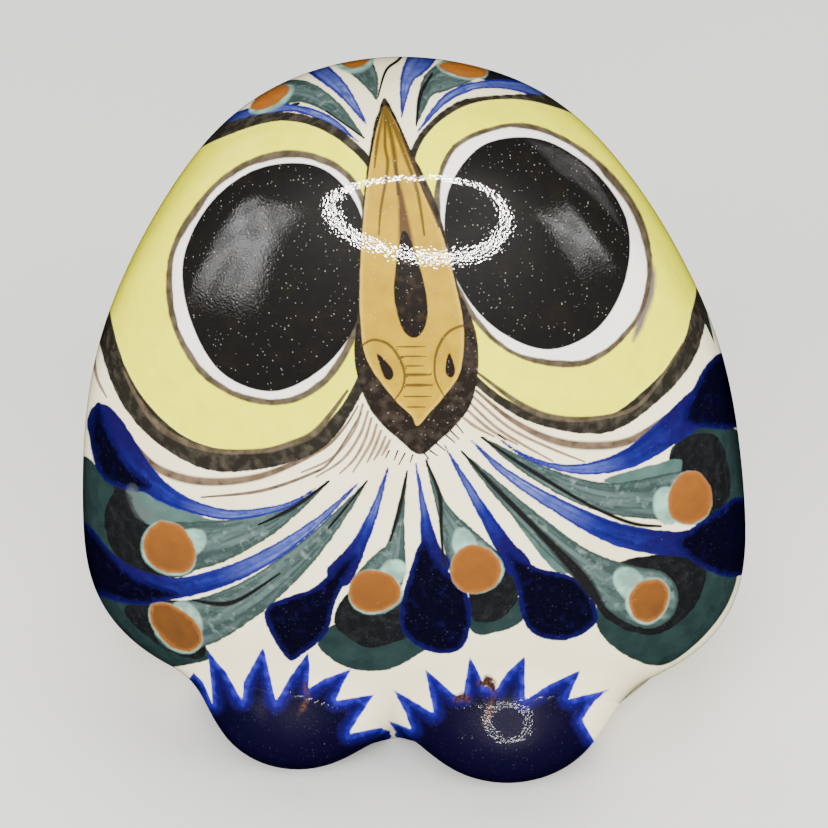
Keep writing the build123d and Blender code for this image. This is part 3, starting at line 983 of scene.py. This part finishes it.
class Graph:
    """Short ways to add and join a material's nodes. Textures are measured in millimetres."""

    def __init__(self, name):
        self.material = bpy.data.materials.new(name)
        self.material.use_nodes = True
        self.tree = self.material.node_tree
        self.shader = self.tree.nodes["Principled BSDF"]
        scale = self.node("ShaderNodeVectorMath", operation="SCALE")
        self.tree.links.new(self.node("ShaderNodeTexCoord").outputs["Object"], scale.inputs[0])
        scale.inputs["Scale"].default_value = 1 / MM
        self.place = scale.outputs[0]

    def node(self, kind, **settings):
        node = self.tree.nodes.new(kind)
        for key, value in settings.items():
            setattr(node, key, value)
        return node

    def put(self, socket, value):
        if isinstance(value, bpy.types.NodeSocket):
            self.tree.links.new(value, socket)
        elif isinstance(value, tuple) and len(value) == 3 and socket.type == "RGBA":
            socket.default_value = value + (1.0,)
        else:
            socket.default_value = value

    def field(self, name):
        return self.node("ShaderNodeAttribute", attribute_name=name).outputs["Fac"]

    def math(self, operation, a, b=0.0, c=0.0):
        node = self.node("ShaderNodeMath", operation=operation)
        for socket, value in zip(node.inputs, (a, b, c)):
            self.put(socket, value)
        return node.outputs[0]

    def times(self, a, b):
        return self.math("MULTIPLY", a, b)

    def noise(self, per_mm, detail=2.0, place=None):
        node = self.node("ShaderNodeTexNoise")
        self.put(node.inputs["Vector"], place if place is not None else self.place)
        self.put(node.inputs["Scale"], per_mm)
        self.put(node.inputs["Detail"], detail)
        return node.outputs["Fac"]

    def dots(self, spacing, radius, share):
        """1 inside small scattered dots, on that share of cells of that spacing."""
        node = self.node("ShaderNodeTexVoronoi", feature="F1")
        self.put(node.inputs["Vector"], self.place)
        self.put(node.inputs["Scale"], 1 / spacing)
        pick = self.node("ShaderNodeSeparateColor")
        self.put(pick.inputs[0], node.outputs["Color"])
        chosen = self.math("LESS_THAN", pick.outputs[0], share)
        size = self.between(pick.outputs[1], 0.0, 1.0, 0.5 * radius / spacing, radius / spacing)
        return self.times(self.math("LESS_THAN", node.outputs["Distance"], size), chosen)

    def between(self, value, low, high, out_low=0.0, out_high=1.0):
        node = self.node("ShaderNodeMapRange", clamp=True)
        for key, v in (("Value", value), ("From Min", low), ("From Max", high),
                       ("To Min", out_low), ("To Max", out_high)):
            self.put(node.inputs[key], v)
        return node.outputs[0]

    def mix(self, amount, a, b):
        node = self.node("ShaderNodeMix", data_type="RGBA")
        self.put(node.inputs[0], amount)
        self.put(node.inputs[6], a)
        self.put(node.inputs[7], b)
        return node.outputs[2]

    def tone(self, value, low, high, first, second):
        """The first colour where the value is low, the second where it's high."""
        return self.mix(self.between(value, low, high), first, second)

    def part(self, vector, axis):
        """One coordinate of a place: 0, 1 or 2."""
        node = self.node("ShaderNodeSeparateXYZ")
        self.put(node.inputs[0], vector)
        return node.outputs[axis]

    def bump(self, height, distance):
        node = self.node("ShaderNodeBump")
        self.put(node.inputs["Height"], height)
        node.inputs["Distance"].default_value = distance * MM
        self.put(self.shader.inputs["Normal"], node.outputs[0])
        return node.outputs[0]


class Painting(Graph):
    """Underglaze painting on cream stoneware, with painted light and shade laid in here and there: glints on
    the glaze, darker low toes, and discs lighter higher up. Each layer is laid over the colour so far.
    """

    def __init__(self, name):
        super().__init__(name)
        self.broad = self.noise(0.10, 3.0)
        self.middle = self.noise(0.9, 3.0)
        self.fine = self.noise(3.2, 2.0)
        self.wash = self.noise(0.45, 4.0)
        hand = self.field("hand")
        uneven = self.math("SUBTRACT", self.middle, 0.5)
        fine_wobble = self.times(self.math("SUBTRACT", self.fine, 0.5), 0.16)
        self.wobble = self.times(self.math("MULTIPLY_ADD", uneven, 0.30, fine_wobble), hand)
        self.shift = self.times(self.times(uneven, 0.9), hand)
        self.colour = None

    def edge(self, name, hand=1.0):
        """A shape's distance field with the brush's wobble in it."""
        return self.math("MULTIPLY_ADD", self.wobble, hand, self.field(name))

    def mask(self, name, grow=0.0, soft=0.07, hand=1.0):
        """1 inside a shape, 0 outside."""
        return self.between(self.edge(name, hand), grow + soft, grow - soft)

    def streaks(self, name, count=3.0, run=2.0):
        """Brush streaks that run along a stroke."""
        join = self.node("ShaderNodeCombineXYZ")
        self.put(join.inputs[0], self.times(self.field(name + "_across"), count))
        self.put(join.inputs[1], self.times(self.field(name + "_along"), run))
        self.put(join.inputs[2], self.times(self.wash, 3.0))
        return self.noise(1.0, 3.0, join.outputs[0])

    def lay(self, amount, tone):
        """Covers the colour so far, by that amount."""
        self.colour = self.mix(amount, self.colour, tone)

    def paint(self, name, tone, **brush):
        """Fills a shape."""
        self.lay(self.mask(name, **brush), tone)

    def draw(self, name, tone, soft=0.35, strength=1.0):
        """Draws thin brush lines, as wide as their strokes say."""
        across = self.math("ABSOLUTE", self.field(name + "_across"))
        inside = self.between(across, 1 + soft, 1 - soft, 0.0, strength)
        self.lay(self.times(inside, self.between(self.field(name), 0.16, 0.08)), tone)

    def cream_ground(self):
        """Uneven cream glaze with darker flecks."""
        self.colour = self.tone(self.broad, 0.35, 0.65, (0.92, 0.85, 0.58), (0.86, 0.77, 0.47))
        self.lay(self.between(self.fine, 0.66, 0.8), (0.74, 0.63, 0.40))

    def brown_lines(self):
        """Hairlines and wider sweeps under the eyes."""
        hair = self.tone(self.middle, 0.3, 0.7, (0.26, 0.155, 0.10), (0.12, 0.075, 0.045))
        for name in ("hair", "hair_between"):
            self.draw(name, hair, 0.4, 0.95)
        sweep = self.tone(self.middle, 0.35, 0.7, (0.155, 0.105, 0.066), (0.060, 0.042, 0.026))
        self.draw("sweep", sweep, 0.3)

    def disc_grounds(self):
        """Dark grounds behind the feathers' discs, and thin teal washes."""
        teal = self.tone(self.wash, 0.35, 0.65, (0.0095, 0.0215, 0.0205), (0.0145, 0.032, 0.030))
        self.paint("teal_ground", teal)
        black = self.tone(self.middle, 0.45, 0.8, (0.006, 0.0065, 0.007), (0.014, 0.0145, 0.015))
        self.paint("black", black)
        thin = self.tone(self.wash, 0.35, 0.65, (0.042, 0.086, 0.074), (0.066, 0.118, 0.102))
        self.paint("teal_wash", thin)

    def teal_feathers(self):
        """Streaky and mottled, darker along the edges."""
        teal = self.tone(self.streaks("teal"), 0.38, 0.62, (0.028, 0.047, 0.043), (0.075, 0.112, 0.104))
        teal = self.tone(self.middle, 0.56, 0.80, teal, (0.165, 0.215, 0.195))
        teal = self.tone(self.edge("teal"), -0.42, -0.06, teal, (0.022, 0.040, 0.034))
        self.paint("teal", teal)

    def blue_feathers(self):
        """Watery cobalt near the first touch, darker at the sides, navy in the head."""
        streak = self.streaks("blue", 2.0, 3.0)
        along = self.field("blue_along")
        blue = self.tone(streak, 0.36, 0.68, (0.0055, 0.005, 0.090), (0.012, 0.016, 0.18))
        watery = self.tone(self.middle, 0.35, 0.7, (0.080, 0.110, 0.36), (0.18, 0.23, 0.48))
        thin = self.times(self.between(along, 0.55, 0.18), self.between(self.edge("blue"), -0.10, -0.36))
        blue = self.mix(self.times(thin, self.between(streak, 0.35, 0.6, 0.35, 1.0)), blue, watery)
        blue = self.tone(self.edge("blue"), -0.26, -0.02, blue, (0.010, 0.006, 0.175))
        depth = self.math("ADD", along, self.times(self.shift, 0.5))
        blue = self.tone(depth, 0.55, 0.84, blue, (0.0055, 0.0018, 0.055))
        self.paint("blue", blue)
        navy = self.tone(self.middle, 0.55, 0.85, (0.0012, 0.0009, 0.0068), (0.0035, 0.0010, 0.034))
        head_depth = self.math("ADD", self.field("blue_head"), self.shift)
        self.paint("blue_head", self.tone(head_depth, 0.1, -0.8, (0.0045, 0.0015, 0.070), navy))

    def dark_lines(self):
        """The feathers' dark edges, the dashes under the beak, and a soft grey streak that is a painted
        reflection over a small pit in the glaze.
        """
        self.draw("dark_line", (0.008, 0.0085, 0.008), 0.4)
        # Painted reflection: the soft grey streak over a small pit in the glaze.
        self.paint("pit_sheen", (0.075, 0.09, 0.088), soft=0.6, hand=3.0)

    def discs(self):
        """Orange discs with mint haloes. The higher discs are painted lighter and the lower ones darker, as
        painted light and shade.
        """
        mint = self.tone(self.wash, 0.40, 0.62, (0.15, 0.245, 0.205), (0.25, 0.48, 0.365))
        self.paint("mint", mint, grow=-0.22, soft=0.16)
        # Painted light and shade: the darker orange low on the body and the lighter one higher up, mixed by
        # height alone.
        shaded_orange = self.tone(self.wash, 0.35, 0.65, (0.062, 0.028, 0.009), (0.105, 0.042, 0.009))
        lit_orange = self.tone(self.middle, 0.35, 0.7, (0.36, 0.115, 0.014), (0.28, 0.092, 0.014))
        orange = self.mix(self.between(self.part(self.place, 2), 20.0, 60.0, 0.12, 0.95), shaded_orange, lit_orange)
        orange = self.tone(self.edge("orange", 2.5), -0.5, -0.1, orange, (0.26, 0.088, 0.016))
        self.paint("orange", orange, soft=0.10)

    def eyes(self):
        """Dark outer ring, yellow ring, white ring and black pupil."""
        ring = self.tone(self.middle, 0.45, 0.72, (0.0155, 0.0138, 0.0100), (0.052, 0.044, 0.031))
        self.paint("dark_ring", ring)
        yellow = self.tone(self.wash, 0.3, 0.7, (0.78, 0.76, 0.002), (0.88, 0.84, 0.004))
        yellow = self.tone(self.edge("yellow", 2.0), -0.4, 0.0, yellow, (0.88, 0.85, 0.08))
        self.paint("yellow", yellow, hand=0.5)
        self.paint("mauve", (0.15, 0.12, 0.105), soft=0.25)
        eye_line = self.tone(self.middle, 0.35, 0.7, (0.048, 0.036, 0.020), (0.110, 0.085, 0.052))
        self.draw("eye_line", eye_line, 0.3)
        self.paint("white_ring", eye_line, grow=-0.22, soft=0.10, hand=0.5)
        rim = self.math("ADD", self.field("white_ring"), self.between(self.broad, 0.38, 0.62, 0.72, 1.15))
        rim = self.math("MULTIPLY_ADD", self.wobble, 0.6, rim)
        white = self.tone(self.broad, 0.4, 0.65, (0.90, 0.88, 0.78), (0.82, 0.78, 0.70))
        self.lay(self.between(rim, 0.10, -0.10), white)
        pupil = self.tone(self.wash, 0.5, 0.8, (0.0062, 0.0057, 0.0050), (0.0105, 0.0080, 0.0052))
        self.paint("pupil", pupil, hand=0.25)

    def beak(self):
        """Tan inside a dark band, with a black drop, streaks and nostrils."""
        band = self.tone(self.middle, 0.48, 0.72, (0.012, 0.0088, 0.0065), (0.040, 0.029, 0.021))
        self.paint("beak_edge", band, hand=0.6)
        tan = self.tone(self.wash, 0.35, 0.65, (0.43, 0.265, 0.006), (0.34, 0.20, 0.008))
        tan = self.tone(self.field("beak"), -0.5, -0.05, tan, (0.50, 0.32, 0.03))
        self.paint("beak", tan, hand=0.5)
        self.paint("beak_shade", (0.075, 0.038, 0.013), soft=0.2, hand=0.6)
        drop = self.tone(self.middle, 0.5, 0.75, (0.0085, 0.0060, 0.0044), (0.034, 0.020, 0.010))
        self.paint("beak_drop", drop, hand=0.5)
        self.draw("beak_line", (0.040, 0.021, 0.008), 0.5, 0.85)
        self.paint("nostril", (0.012, 0.008, 0.006), hand=0.4)

    def toes(self):
        """Cobalt tips that run down into navy, with brown marks on them. Low on the feet, where they curve
        under, the navy is painted darker still as painted shade.
        """
        depth = self.math("ADD", self.field("toes"), self.shift)
        toes = self.tone(self.middle, 0.4, 0.65, (0.010, 0.004, 0.20), (0.022, 0.020, 0.34))
        toes = self.tone(depth, -0.1, -0.7, toes, (0.006, 0.0016, 0.085))
        # Painted shade: deepest in the toes' shape, low on the feet where they curve under, the navy runs
        # into near-black.
        toes = self.tone(depth, -0.6, -1.6, toes, (0.0016, 0.0006, 0.0115))
        self.paint("toes", toes, hand=0.7)
        brown = self.tone(self.fine, 0.4, 0.7, (0.018, 0.007, 0.010), (0.085, 0.038, 0.016))
        self.paint("toe_brown", brown, soft=0.25, hand=3.0)

    def specks(self):
        """Brown pinholes, pale specks painted as the glaze's tiny highlights, and painted glints that are
        strongest in the black glazes.
        """
        self.lay(self.dots(4.5, 0.13, 0.35), (0.16, 0.11, 0.05))
        # Painted highlights: pale specks over every colour, standing in for tiny glints off the glaze's
        # bubbles.
        self.lay(self.dots(1.3, 0.07, 0.35), self.mix(0.35, self.colour, (0.5, 0.5, 0.45)))
        black_glaze = self.math("MAXIMUM", self.mask("pupil"), self.mask("beak_edge"))
        black_glaze = self.math("MAXIMUM", black_glaze, 0.12)
        # Painted glints, strongest in the pupils and the beak's dark band.
        painted_glints = self.times(self.dots(0.42, 0.085, 0.60), self.between(self.wash, 0.35, 0.6, 0.3, 1.0))
        self.lay(self.times(painted_glints, black_glaze), self.mix(0.30, self.colour, (0.6, 0.6, 0.56)))

    def glaze(self, gloss):
        """Bare clay where there's no glaze, a clear coat, and a finely uneven surface."""
        bare = self.mix(self.middle, (0.40, 0.25, 0.11), (0.24, 0.15, 0.075))
        self.put(self.shader.inputs["Base Color"], self.mix(self.field("glazed"), bare, self.colour))
        self.put(self.shader.inputs["Roughness"], self.between(self.fine, 0.2, 0.8, 0.34, 0.50))
        self.shader.inputs["Specular IOR Level"].default_value = 0.05
        self.shader.inputs["Coat Weight"].default_value = gloss
        self.shader.inputs["Coat Roughness"].default_value = 0.025
        grain = self.node("ShaderNodeTexVoronoi", feature="F1")
        self.put(grain.inputs["Vector"], self.place)
        self.put(grain.inputs["Scale"], 3.6)
        height = self.math("MULTIPLY_ADD", self.noise(3.0, 1.0), 0.5, self.times(self.middle, 0.5))
        height = self.math("MULTIPLY_ADD", grain.outputs["Distance"], 0.6, height)
        height = self.times(height, self.between(self.field("toes"), -0.2, -1.5, 1.0, 1.5))
        self.put(self.shader.inputs["Coat Normal"], self.bump(height, 0.0098))


def painted_glaze(name, gloss):
    """The whole painting, under a clear glaze."""
    painting = Painting(name)
    painting.cream_ground()
    painting.brown_lines()
    painting.disc_grounds()
    painting.teal_feathers()
    painting.blue_feathers()
    painting.dark_lines()
    painting.discs()
    painting.eyes()
    painting.beak()
    painting.toes()
    painting.specks()
    painting.glaze(gloss)
    return painting.material


def bare_clay(name):
    """Unglazed fired stoneware with fine grog."""
    g = Graph(name)
    tone = g.tone(g.noise(0.4, 3.0), 0.35, 0.65, (0.42, 0.26, 0.12), (0.24, 0.15, 0.08))
    tone = g.mix(g.dots(0.9, 0.16, 0.4), tone, (0.12, 0.07, 0.04))
    g.put(g.shader.inputs["Base Color"], tone)
    g.put(g.shader.inputs["Roughness"], g.between(g.noise(2.0), 0.3, 0.7, 0.75, 0.95))
    g.bump(g.noise(2.5, 4.0), 0.12)
    return g.material


glazes = {name: painted_glaze(name, gloss) for name, gloss in (("painted_glaze", 1.0), ("blue_glaze", 0.10))}
clay = bare_clay("bare_clay")
for piece, node, slot in (
    (front_shell, "front_shell", "painted_glaze"),
    (back_shell, "back_shell", "painted_glaze"),
    (left_foot, "left_foot", "blue_glaze"),
    (right_foot, "right_foot", "blue_glaze"),
):
    piece.data.materials.append(glazes[slot])
    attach(piece, "root")
    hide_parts(node)
for node in ("base_slab", "left_seam_coil", "right_seam_coil"):
    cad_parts[node].data.materials.clear()
    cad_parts[node].data.materials.append(clay)

# ---------------------------------------------------------------- floor, lights and camera
RING_RADIUS = 125.0
RING_HALF_WIDTH = 3.1
RING_CORNERS = 96
RING_STRENGTH = 300.0
PANEL_RAGGEDNESS = 90.0
PANEL_ROUNDING = 40.0
PANEL_FADE = 45.0
FLOOR_WIDTH = 4000.0
SKY_COLOUR = (0.95, 0.97, 1.0, 1)
SKY_STRENGTH = 0.38

# The camera sees this width at the face's middle, from just beside and below the painter's eye
SENSOR_WIDTH = 36.0
FRAME_WIDTH = 94.8
CAMERA_RIGHT = 0.65
CAMERA_DOWN = 0.44

# Each light's name, place, width and height, and power in watts or strength of its glow
LEFT_SIDE = (-300, -255, 175)
LEFT_BACK = (-420, 330, 260)
RIGHT_BACK = (420, 330, 260)
AREA_LIGHTS = (
    ("lens_fill", PAINTERS_EYE, (250, 250), 1.45),
    ("left_panel", LEFT_SIDE, (190, 200), 2.05),
    ("right_panel", (350, -160, 175), (190, 170), 1.85),
    ("left_back_panel", LEFT_BACK, (250, 300), 1.1),
    ("right_back_panel", RIGHT_BACK, (250, 300), 1.1),
    ("overhead", (0, 250, 600), (500, 400), 4.0),
)
GLOW_PANELS = (
    ("left_glow", LEFT_SIDE, (230, 250), 8.0),
    ("right_glow", (350, -160, 205), (230, 165), 6.5),
    ("left_back_glow", LEFT_BACK, (300, 350), 1.2),
    ("right_back_glow", RIGHT_BACK, (300, 350), 1.2),
)


def sheet(name, width, height):
    """A flat rectangle in the scene."""
    x, y = width / 2 * MM, height / 2 * MM
    mesh = bpy.data.meshes.new(name)
    mesh.from_pydata([(-x, -y, 0), (x, -y, 0), (x, y, 0), (-x, y, 0)], [], [(0, 1, 2, 3)])
    return put_in_scene(name, mesh)


def face_the_owl(lamp, position):
    """Puts a lamp in its place, turned towards the face's middle."""
    lamp.location = Vector(position) * MM
    aim = Vector(FACE_CENTRE) * MM - lamp.location
    lamp.rotation_euler = aim.to_track_quat("-Z", "Y").to_euler()


def only_mirrored(lamp):
    """Keeps a glowing mesh out of sight, apart from its mirror image in the glaze."""
    lamp.visible_camera = False
    lamp.visible_diffuse = False
    lamp.visible_shadow = False


def glow(name, colour):
    """A black material that glows."""
    g = Graph(name)
    g.shader.inputs["Base Color"].default_value = (0, 0, 0, 1)
    g.shader.inputs["Emission Color"].default_value = colour
    return g


def make_floor():
    """A wide pale floor that the owl stands on. The glaze doesn't mirror it."""
    floor = sheet("floor", FLOOR_WIDTH, FLOOR_WIDTH)
    floor.visible_glossy = False
    g = Graph("floor_paper")
    g.put(g.shader.inputs["Base Color"], (0.66, 0.65, 0.63))
    g.shader.inputs["Roughness"].default_value = 0.95
    g.shader.inputs["Specular IOR Level"].default_value = 0.0
    floor.data.materials.append(g.material)


def make_ring_light():
    """A ring lamp round the camera's lens, which the owl's brow mirrors."""
    points = []
    for radius in (RING_RADIUS - RING_HALF_WIDTH, RING_RADIUS + RING_HALF_WIDTH):
        for k in range(RING_CORNERS):
            a = 2 * math.pi * k / RING_CORNERS
            arm = FACE_RIGHT * math.cos(a) + FACE_UP * math.sin(a)
            points.append(tuple((PAINTERS_EYE + radius * arm) * MM))
    following = [(k + 1) % RING_CORNERS for k in range(RING_CORNERS)]
    faces = [(k, n, RING_CORNERS + n, RING_CORNERS + k) for k, n in enumerate(following)]
    mesh = bpy.data.meshes.new("ring_lamp")
    mesh.from_pydata(points, [], faces)
    lamp = put_in_scene("ring_lamp", mesh)
    only_mirrored(lamp)
    g = glow("ring_lamp_glow", (1, 0.98, 0.95, 1))
    g.shader.inputs["Emission Strength"].default_value = RING_STRENGTH
    mesh.materials.append(g.material)


def glow_panel(name, position, size, strength):
    """A soft-edged, uneven panel that faces the owl. It only shows as a mirror image in the glaze."""
    lamp = sheet(name, *size)
    face_the_owl(lamp, position)
    only_mirrored(lamp)
    g = glow(name, (1, 1, 1, 1))
    ragged = g.times(g.math("SUBTRACT", g.noise(0.03, 4.0), 0.5), PANEL_RAGGEDNESS)
    margins = [g.math("SUBTRACT", size[axis] / 2, g.math("ABSOLUTE", g.part(g.place, axis)))
               for axis in (0, 1)]
    margin = g.math("ADD", g.math("SMOOTH_MIN", *margins, PANEL_ROUNDING), ragged)
    mottle = g.between(g.noise(0.022, 5.0), 0.38, 0.60, 0.25, 1.0)
    fade = g.between(margin, 0.0, PANEL_FADE, 0.0, strength)
    g.put(g.shader.inputs["Emission Strength"], g.times(fade, mottle))
    lamp.data.materials.append(g.material)


def area_light(name, position, size, power):
    """A soft rectangular light that faces the owl. The glaze doesn't mirror it."""
    light = bpy.data.lights.new(name, "AREA")
    light.shape = "RECTANGLE"
    light.size, light.size_y = size[0] * MM, size[1] * MM
    light.energy = power
    lamp = put_in_scene(name, light)
    face_the_owl(lamp, position)
    lamp.visible_glossy = False


def make_world():
    """A pale sky, which the glaze doesn't mirror."""
    world = bpy.data.worlds.new("studio")
    bpy.context.scene.world = world
    world.use_nodes = True
    background = world.node_tree.nodes["Background"]
    background.inputs["Color"].default_value = SKY_COLOUR
    background.inputs["Strength"].default_value = SKY_STRENGTH
    world.cycles_visibility.glossy = False


def make_camera():
    """The photographer's view: the face plane's own axes, from the painter's eye."""
    data = bpy.data.cameras.new("camera")
    data.sensor_width = SENSOR_WIDTH
    data.lens = SENSOR_WIDTH * EYE_DISTANCE / FRAME_WIDTH
    data.clip_start = 0.01
    camera = put_in_scene("camera", data)
    place = PAINTERS_EYE + FACE_RIGHT * CAMERA_RIGHT - FACE_UP * CAMERA_DOWN
    camera.matrix_world = Matrix.Translation(Vector(place) * MM) @ Matrix(
        (FACE_RIGHT, FACE_UP, FACE_BACK)).transposed().to_4x4()
    bpy.context.scene.camera = camera


make_floor()
make_world()
make_ring_light()
for settings in AREA_LIGHTS:
    area_light(*settings)
for settings in GLOW_PANELS:
    glow_panel(*settings)
make_camera()
